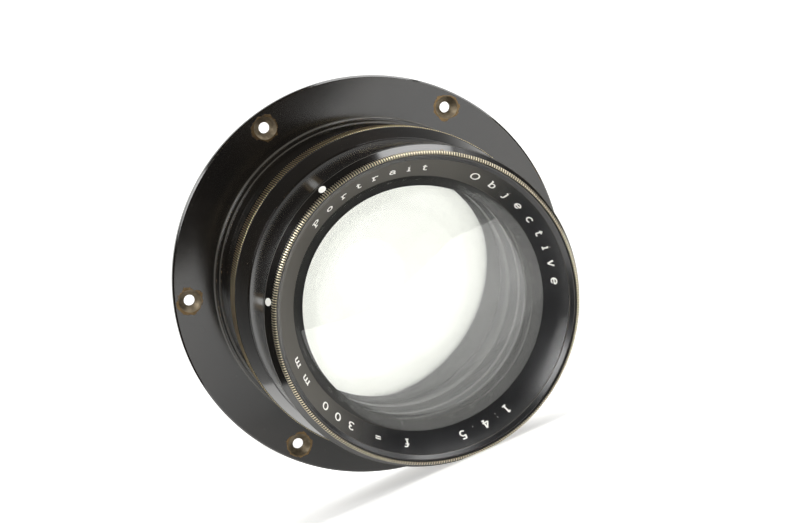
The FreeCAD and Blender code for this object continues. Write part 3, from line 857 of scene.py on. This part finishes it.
def aperture_ring():
    piece = turned("aperture_ring_body", [
        (RING_BORE_RADIUS, RING_REAR_A),
        (KNURL_RADIUS - KNURL_REAR_CHAMFER, RING_REAR_A),
        (KNURL_RADIUS, RING_REAR_A + KNURL_REAR_CHAMFER, EDGE_ROUND, True),
        (KNURL_RADIUS, KNURL_FRONT_A - KNURL_FRONT_CHAMFER, EDGE_ROUND, True),
        (KNURL_RADIUS - KNURL_FRONT_CHAMFER, KNURL_FRONT_A),
        (RING_NOSE_RADIUS, RING_FRONT_A),
        (RING_BORE_RADIUS, RING_FRONT_A),
    ], barrel_lacquer, RING_TEETH)
    add_material(piece, ring_knurl, KNURL_RADIUS - KNURL_BAND_DEPTH, RING_REAR_A, KNURL_FRONT_A)
    outer = KNURL_RADIUS + CUT_OVERRUN
    hole = radial_rod(SCREW_SHANK_RADIUS, RING_BORE_RADIUS - CUT_OVERRUN, outer, SCREW_ANGLE)
    head_hole = radial_rod(SCREW_HEAD_HOLE_RADIUS, SCREW_HEAD_FROM, outer, SCREW_ANGLE)
    carved(piece, [hole, head_hole])
    fit_turned(piece, "black_lacquer", "aperture_ring", RING_BODY)


def add_material(piece, material, inner_radius, from_a=-math.inf, to_a=math.inf):
    """Give a second material to the faces outside a radius and between two places."""
    mesh = piece.data
    mesh.materials.append(material)
    for face in mesh.polygons:
        x, y, z = face.center
        if math.hypot(x, z) > inner_radius * MM and from_a < -y / MM < to_a:
            face.material_index = 1


def front_barrel():
    radius = FRONT_BARREL_RADIUS
    piece = turned("front_barrel_body", [
        (JOURNAL_RADIUS, FRONT_BARREL_REAR_A),
        (radius, FRONT_BARREL_REAR_A, 0.2),
        (radius, GROOVE_REAR_A, 0.1),
        (radius - GROOVE_DEPTH, GROOVE_REAR_A, 0.1),
        (radius - GROOVE_DEPTH, BEAD_REAR_A, 0.1),
        (radius, BEAD_REAR_A, 0.1),
        (radius, BEAD_FRONT_A, 0.15),
        (radius - BEVEL_STEP, BEAD_FRONT_A, 0.05),
        (BEVEL_NOSE_RADIUS, FRONT_BARREL_FRONT_A, 0.15),
        (FRONT_BARREL_BORE, FRONT_BARREL_FRONT_A, 0.05),
        (FRONT_BARREL_BORE, BARREL_FRONT_A),
        (JOURNAL_RADIUS, BARREL_FRONT_A),
    ], barrel_lacquer)
    fit_turned(piece, "black_lacquer", "front_barrel")


def index_dots():
    """Two enamel dots let into the bevel, slightly domed."""
    rear = Vector((FRONT_BARREL_RADIUS - BEVEL_STEP, BEAD_FRONT_A))
    nose = Vector((BEVEL_NOSE_RADIUS, FRONT_BARREL_FRONT_A))
    along = (nose - rear).normalized()
    middle = (rear + nose) / 2
    outline = [(0, -INDEX_DOT_DEPTH), (INDEX_DOT_RADIUS, -INDEX_DOT_DEPTH),
               (INDEX_DOT_RADIUS, 0.0), (INDEX_DOT_RADIUS - 0.12, 0.03),
               (INDEX_DOT_RADIUS * 0.5, 0.045), (0, 0.05)]
    for number, degrees in enumerate(INDEX_ANGLES, start=1):
        outward = place(along.y, -along.x, degrees).normalized()
        start = place(middle.x, middle.y, degrees)
        dot = lathe_about("index_dot_%d" % number, start, outward, outline, white)
        fit(dot, ROOT, "enamel", "index_dots")


def front_cell():
    first = FRONT_ELEMENT.edge + CLEARANCE
    second = SECOND_ELEMENT.edge + CLEARANCE
    seat_a = rear_face_a(SECOND_ELEMENT, SECOND_ELEMENT.edge) - CLEARANCE
    piece = turned("front_cell_body", [
        (CELL_REAR_BORE, CELL_REAR_A, 0),
        (CELL_BODY_RADIUS, CELL_REAR_A, 0),
        (CELL_BODY_RADIUS, BARREL_FRONT_A + CLEARANCE, 0),
        (CELL_NECK_RADIUS, BARREL_FRONT_A + CLEARANCE, 0),
        (CELL_NECK_RADIUS, CELL_RIM_REAR_A, 0),
        (CELL_RIM_RADIUS - CELL_RIM_REAR_CHAMFER, CELL_RIM_REAR_A, 0.05),
        (CELL_RIM_RADIUS, CELL_RIM_REAR_A + CELL_RIM_REAR_CHAMFER, EDGE_ROUND, True),
        (CELL_RIM_RADIUS, TOTAL_LENGTH - CELL_RIM_CHAMFER, EDGE_ROUND, True),
        (CELL_RIM_RADIUS - CELL_RIM_CHAMFER, TOTAL_LENGTH, 0.15, True),
        (CELL_RIM_INNER_RADIUS, TOTAL_LENGTH, 0.12),
        (CELL_RIM_INNER_RADIUS, NAME_RING_SEAT_A, 0),
        (first + SEAT_CONE_WIDTH, NAME_RING_SEAT_A, 0),
        (first, front_face_a(FRONT_ELEMENT, FRONT_ELEMENT.edge) - NAME_RING_GAP, 0),
        (first, SPACER_STEP_A, 0),
        (second, SPACER_STEP_A, 0),
        (second, seat_a, 0),
        (CELL_REAR_BORE, seat_a, 0),
    ], inner_satin, RIM_TEETH)
    add_material(piece, rim_knurl, CELL_RIM_INNER_RADIUS + RIM_BAND_MARGIN, CELL_RIM_REAR_A)
    fit_turned(piece, "black_lacquer", "front_cell")


def name_ring():
    edge = FRONT_ELEMENT.edge
    inner = NAME_RING_INNER_RADIUS
    piece = turned("name_ring_body", [
        (inner, front_face_a(FRONT_ELEMENT, inner) + CLEARANCE, 0.06),
        (NAME_CONE_RADIUS, NAME_CONE_A, 0.06),
        (NAME_CONE_RADIUS, NAME_CONE_A + NAME_STEP, 0.06),
        (NAME_RING_LIP_RADIUS, NAME_RING_LIP_A, 0.1),
        (NAME_RING_OUTER_RADIUS, NAME_RING_LIP_A, 0.05),
        (NAME_RING_OUTER_RADIUS, NAME_RING_SEAT_A + NAME_RING_GAP),
        (edge + NAME_RING_SKIRT_WIDTH, NAME_RING_SEAT_A + NAME_RING_GAP),
        (edge, front_face_a(FRONT_ELEMENT, edge) + NAME_RING_GAP),
    ], name_satin)
    fit_turned(piece, "satin_black", "name_ring")


def spacer_ring():
    outer = SECOND_ELEMENT.edge
    inner = outer - SPACER_WALL
    top = rear_face_a(FRONT_ELEMENT, inner) - CLEARANCE
    piece = turned("spacer_ring_body", [
        (inner, front_face_a(SECOND_ELEMENT, inner) + CLEARANCE, 0.05),
        (outer, front_face_a(SECOND_ELEMENT, outer) + CLEARANCE, 0.05),
        (outer, SPACER_STEP_A + CLEARANCE),
        (FRONT_ELEMENT.edge, SPACER_STEP_A + CLEARANCE),
        (FRONT_ELEMENT.edge, top),
        (inner, top),
    ], inner_satin)
    fit_turned(piece, "satin_black", "spacer_ring")


def iris_retaining_ring():
    piece = turned("iris_retaining_ring_body", [
        (RETAINER_BORE_RADIUS, RETAINER_REAR_A),
        (BASE_PLATE_RADIUS, RETAINER_REAR_A),
        (BASE_PLATE_RADIUS, RETAINER_FRONT_A),
        (RETAINER_BORE_RADIUS, RETAINER_FRONT_A),
    ], inner_satin)
    fit_turned(piece, "satin_black", "iris_retaining_ring")


def rear_cell():
    bore = REAR_ELEMENT.edge + CLEARANCE
    shoulder_a = front_face_a(THIRD_ELEMENT, THIRD_ELEMENT.edge) + CLEARANCE
    thread_a = rear_face_a(REAR_ELEMENT, REAR_ELEMENT.edge)
    piece = turned("rear_cell_body", [
        (REAR_CELL_SHOULDER_BORE, shoulder_a),
        (REAR_CELL_SHOULDER_BORE, REAR_CELL_FRONT_A),
        (WEB_BORE_RADIUS - CLEARANCE, REAR_CELL_FRONT_A),
        (WEB_BORE_RADIUS - CLEARANCE, WEB_REAR_A - CLEARANCE),
        (REAR_CELL_RIM_RADIUS, WEB_REAR_A - CLEARANCE),
        (REAR_CELL_RIM_RADIUS, REAR_CELL_REAR_A + REAR_CELL_CHAMFER),
        (REAR_CELL_RIM_RADIUS - REAR_CELL_CHAMFER, REAR_CELL_REAR_A),
        (REAR_CELL_THREAD_BORE, REAR_CELL_REAR_A, 0.2),
        (REAR_CELL_THREAD_BORE, thread_a),
        (bore, thread_a),
        (bore, shoulder_a),
    ], inner_satin)
    fit_turned(piece, "satin_black", "rear_cell")


def rear_retaining_ring():
    front_a = rear_face_a(REAR_ELEMENT, REAR_RETAINER_BORE) - CLEARANCE
    rear_a = front_a - REAR_RETAINER_THICKNESS
    outer = REAR_CELL_THREAD_BORE - CLEARANCE
    piece = turned("rear_retaining_ring_body", [
        (REAR_RETAINER_BORE, rear_a, 0.2),
        (outer, rear_a),
        (outer, front_a),
        (REAR_RETAINER_BORE, front_a),
    ], inner_satin)
    reach = REAR_CELL_THREAD_BORE + CUT_OVERRUN
    half = SPANNER_SLOT_WIDTH / 2
    low, high = rear_a - CUT_OVERRUN, rear_a + SPANNER_SLOT_DEPTH
    corners = [Vector((x, -a, z)) * MM for a in (low, high) for z in (-half, half)
               for x in (-reach, reach)]
    carved(piece, [box("cutter", corners, countersink_brass)])
    fit_turned(piece, "satin_black", "rear_retaining_ring")


def lens_element(name, glass):
    """Polished element: two spherical faces and a ground edge with small bevels."""
    reach = glass.edge - GLASS_BEVEL
    heights = [reach * step / LENS_STEPS for step in range(LENS_STEPS + 1)]
    front = [(height, front_face_a(glass, height)) for height in heights]
    rear = [(height, rear_face_a(glass, height)) for height in heights]
    edge_front = (glass.edge, front[-1][1] - GLASS_BEVEL)
    edge_rear = (glass.edge, rear[-1][1] + GLASS_BEVEL)
    profile = rear + [edge_rear, edge_front] + front[::-1]
    piece = lathe_about(name + "_glass", Vector((0, 0, 0)), Vector((0, -1, 0)), profile,
                        optical_glass("glass_" + name, glass.index), columns=COLUMNS)
    add_material(piece, edge_paint, reach - EDGE_PAINT_MARGIN)
    fit(piece, ROOT, "glass", name)


# ---- lettering -----------------------------------------------------------
Slope = namedtuple("Slope", "radius a out_radius out_a lift_radius lift_a turn")


def stroke_path(stroke):
    """Points of a line or an elliptical arc."""
    if len(stroke) == 4:
        return [stroke[:2], stroke[2:]]
    x, y, wide, high, start, end = stroke
    steps = max(3, round(abs(end - start) / ARC_STEP))
    angles = [math.radians(start + (end - start) * step / steps) for step in range(steps + 1)]
    return [(x + wide * math.cos(angle), y + high * math.sin(angle)) for angle in angles]


def glyph(character, height):
    """Vertices and faces of a character in millimetres, centred on its width."""
    curve = bpy.data.curves.new("glyph", "CURVE")
    curve.dimensions = "3D"
    curve.bevel_depth = STROKE_WIDTH * height / 2
    curve.bevel_resolution = 1
    curve.use_fill_caps = True
    for stroke in STROKES.get(character, ()):
        path = stroke_path(stroke)
        spline = curve.splines.new("POLY")
        spline.points.add(len(path) - 1)
        for point, (x, y) in zip(spline.points, path):
            point.co = (x * height, y * height, 0, 1)
    holder = bpy.data.objects.new("glyph", curve)
    mesh = bpy.data.meshes.new_from_object(holder)
    points = [vertex.co.copy() for vertex in mesh.vertices]
    faces = [tuple(face.vertices) for face in mesh.polygons]
    bpy.data.objects.remove(holder)
    bpy.data.curves.remove(curve)
    bpy.data.meshes.remove(mesh)
    if not points:
        return [], [], SPACE_WIDTH * height
    low = min(point.x for point in points)
    high = max(point.x for point in points)
    middle = Vector(((low + high) / 2, height / 2, 0))
    flat = Vector((1, 1, STROKE_FLATNESS))
    return [(point - middle) * flat for point in points], faces, high - low


def lettering(name, text, start_deg, end_deg, slope, height, body):
    """Enamel characters spread evenly along an arc of a cone, from one angle to another.

    slope.turn is +1 where the text runs anticlockwise as seen from the front.
    """
    glyphs = [glyph(character, height) for character in text]
    widths = [width for _, _, width in glyphs]
    run = math.radians(abs(end_deg - start_deg)) * slope.radius
    gaps = max(len(text) - 1, 1)
    gap = (run - sum(widths) + (widths[0] + widths[-1]) / 2) / gaps
    vertices = []
    faces = []
    along = -widths[0] / 2
    for points, shape, width in glyphs:
        along += width / 2
        first = len(vertices)
        for point in points:
            turn = math.degrees((along + point.x) / slope.radius) * slope.turn
            radius = slope.radius + point.y * slope.out_radius + point.z * slope.lift_radius
            a = slope.a + point.y * slope.out_a + point.z * slope.lift_a
            vertices.append(place(radius, a, start_deg + turn))
        faces += [tuple(first + index for index in face) for face in shape]
        along += width / 2 + gap
    fit(solid(name, vertices, faces, white), body, "enamel")


def slope_between(first, last, share, out, turn):
    """Writing line on the cone from first to last, both (radius, a).

    share is how far along the cone the line lies. out is +1 where the tops of the
    letters point to last. The letters rise to the left of first-to-last.
    """
    start, end = Vector(first), Vector(last)
    along = (end - start).normalized()
    at = start.lerp(end, share)
    return Slope(at.x, at.y, along.x * out, along.y * out, -along.y, along.x, turn)


def name_ring_lettering():
    """Generic wording in place of a maker's."""
    inner_a = front_face_a(FRONT_ELEMENT, NAME_RING_INNER_RADIUS) + CLEARANCE
    slope = slope_between((NAME_RING_INNER_RADIUS, inner_a), (NAME_CONE_RADIUS, NAME_CONE_A),
                          NAME_LETTER_SHARE, 1, -1)
    for name, text, start_deg, end_deg in NAME_RING_TEXTS:
        lettering(name, text, start_deg, end_deg, slope, NAME_LETTER_HEIGHT, ROOT)


def ring_turn_for(stop):
    """Degrees that the aperture ring turns from fully open to an f-number."""
    radius = IRIS_MAGNIFICATION * FOCAL_LENGTH / 2 / stop
    lift = (FULL_APERTURE_RADIUS - radius) / (2 * BLADE_PIN_CIRCLE)
    return 4 * math.degrees(math.asin(lift))


def aperture_scale():
    """Stop numbers on the ring's nose, and the line they are set to."""
    nose = (RING_NOSE_RADIUS, RING_FRONT_A)
    back = (KNURL_RADIUS - KNURL_FRONT_CHAMFER, KNURL_FRONT_A)
    slope = slope_between(nose, back, SCALE_LETTER_SHARE, -1, 1)
    slope = slope._replace(lift_radius=-slope.lift_radius, lift_a=-slope.lift_a)
    for stop in STOPS:
        text = "%g" % stop
        middle = SCALE_INDEX_ANGLE - ring_turn_for(stop)
        half = math.degrees(SCALE_NUMBER_PITCH * (len(text) - 1) / 2 / slope.radius)
        label = text.replace(".", "_")
        lettering("stop_" + label, text, middle - half, middle + half, slope,
                  SCALE_NUMBER_HEIGHT, RING_BODY)
        enamel_bar("stop_line_" + label, nose, back, STOP_LINE_SHARES, middle, RING_BODY)
    enamel_bar("index_line", (FRONT_BARREL_RADIUS, FRONT_BARREL_REAR_A),
               (FRONT_BARREL_RADIUS, GROOVE_REAR_A), INDEX_LINE_SHARES, SCALE_INDEX_ANGLE, ROOT)


def enamel_bar(name, first, last, shares, degrees, body):
    """Fine enamel line that lies along a cone or cylinder, between shares of it."""
    start, end = Vector(first), Vector(last)
    half = math.degrees(ENAMEL_LINE_WIDTH / 2 / start.x)
    corners = []
    for share in shares:
        at = start.lerp(end, share)
        for turn in (-half, half):
            for lift in (-ENAMEL_DEPTH, ENAMEL_PROUD):
                corners.append(place(at.x + lift, at.y, degrees + turn))
    fit(box(name, corners, white), body, "enamel")


# ---- CAD nodes that keep their own shape ---------------------------------
def finish_cad_nodes():
    """Materials for the CAD nodes that no visual piece stands for."""
    finishes = {"drive_screw": screw_brass, "iris_drive_ring": inner_satin,
                "iris_base_plate": inner_satin}
    for name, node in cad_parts.items():
        material = steel if name.startswith("iris_blade") else finishes.get(name)
        if material:
            node.data.materials.clear()
            node.data.materials.append(material)


# ---- stage ---------------------------------------------------------------
def pale_floor():
    """Floor that both rims of the lens rest on. It can't be seen from below."""
    finish = Finish("pale_floor")
    cloud = finish.noise(3.0, 3.0)
    rim_foot = Vector((0, CELL_RIM_CHAMFER - TOTAL_LENGTH, -CELL_RIM_RADIUS)) * MM
    away = finish.add("VectorMath", {0: finish.where(), 1: rim_foot},
                      operation="DISTANCE").outputs["Value"]
    finish.set(
        Base_Color=finish.blend(cloud, shades(0.90, 0.90, 0.885), shades(0.94, 0.94, 0.93)),
        Roughness=0.6,
        Specular_IOR_Level=0.2,
        Emission_Color=shades(1.0, 0.995, 0.97),
        # Painted contact shadow: the glow is weaker near the front rim's foot.
        Emission_Strength=finish.ramp(away, *FLOOR_GLOW_AND_CONTACT_SHADOW),
    )
    hidden = finish.add("BsdfTransparent")
    below = finish.add("NewGeometry").outputs["Backfacing"]
    mix = finish.add("MixShader", {0: below})
    finish.tree.links.new(finish.surface.outputs[0], mix.inputs[1])
    finish.tree.links.new(hidden.outputs[0], mix.inputs[2])
    output = finish.tree.nodes["Material Output"]
    finish.tree.links.new(mix.outputs[0], output.inputs["Surface"])

    flange_foot = Vector((0, -FLANGE_CHAMFER, -FLANGE_RADIUS)) * MM
    forward = (rim_foot - flange_foot).normalized()
    side = Vector((1, 0, 0))
    up = side.cross(-forward)
    middle = (flange_foot + rim_foot) / 2 - up * FLOOR_GAP * MM
    corners = [middle + (side * x + forward * ahead) * MM for x, ahead in FLOOR_OUTLINE]
    mesh = bpy.data.meshes.new("floor")
    mesh.from_pydata(corners, [], [tuple(range(len(corners)))])
    mesh.materials.append(finish.material)
    floor = bpy.data.objects.new("floor", mesh)
    bpy.context.scene.collection.objects.link(floor)
    if mesh.polygons[0].normal.dot(up) < 0:
        mesh.flip_normals()


def studio_world():
    """White sweep behind the lens, fading upwards, and a dark room in front of it.

    Where the camera sees the world directly or through glass it is brighter still.
    """
    world = bpy.data.worlds.new("studio")
    bpy.context.scene.world = world
    world.use_nodes = True
    nodes = Nodes(world.node_tree)
    _, y, z = nodes.add("SeparateXYZ", {0: nodes.add("TexCoord").outputs["Generated"]}).outputs
    behind = nodes.ramp(y, *SWEEP_BEHIND)
    below = nodes.ramp(z, *SWEEP_ABOVE, 1.0, SWEEP_TOP_SHARE)
    room = nodes.blend(nodes.math("MULTIPLY", behind, below), ROOM_COLOUR, SWEEP_COLOUR)
    path = nodes.add("LightPath").outputs
    direct = nodes.math("MAXIMUM", path["Is Camera Ray"], path["Is Transmission Ray"])
    background = nodes.tree.nodes["Background"].inputs["Color"]
    nodes.feed(background, nodes.blend(direct, room, BACKDROP_COLOUR))


def lamp(name, position, aim, width, height, power, seen, shadow):
    """Rectangular lamp. seen says whether it shows in mirrors and through glass."""
    light = bpy.data.lights.new(name, "AREA")
    light.shape = "RECTANGLE"
    light.size = width * MM
    light.size_y = height * MM
    light.energy = power
    light.use_shadow = shadow
    holder = bpy.data.objects.new(name, light)
    holder.location = Vector(position) * MM
    towards = (Vector(aim) - Vector(position)).normalized()
    holder.rotation_euler = towards.to_track_quat("-Z", "Y").to_euler()
    holder.visible_glossy = seen
    holder.visible_transmission = seen
    bpy.context.scene.collection.objects.link(holder)


def camera():
    data = bpy.data.cameras.new("camera")
    data.lens = CAMERA_LENS
    data.sensor_width = CAMERA_SENSOR
    data.sensor_fit = "HORIZONTAL"
    data.clip_start = 0.01
    data.clip_end = 20
    view = bpy.data.objects.new("camera", data)
    ahead = (Vector(CAMERA_AIM) - Vector(CAMERA_PLACE)).normalized()
    right = ahead.cross(Vector(CAMERA_UP)).normalized()
    above = right.cross(ahead)
    turn = Matrix((right, above, -ahead)).transposed().to_4x4()
    view.matrix_world = Matrix.Translation(Vector(CAMERA_PLACE) * MM) @ turn
    bpy.context.scene.collection.objects.link(view)
    bpy.context.scene.camera = view


# ---- build ---------------------------------------------------------------
mounting_flange()
main_barrel()
aperture_ring()
front_barrel()
index_dots()
front_cell()
name_ring()
spacer_ring()
iris_retaining_ring()
rear_cell()
rear_retaining_ring()
for node_name, element in (("front_element", FRONT_ELEMENT), ("second_element", SECOND_ELEMENT),
                           ("third_element", THIRD_ELEMENT), ("rear_element", REAR_ELEMENT)):
    lens_element(node_name, element)
name_ring_lettering()
aperture_scale()
finish_cad_nodes()

pale_floor()
studio_world()
for settings in LAMPS:
    lamp(*settings)
camera()
bpy.context.scene.view_settings.view_transform = "Standard"
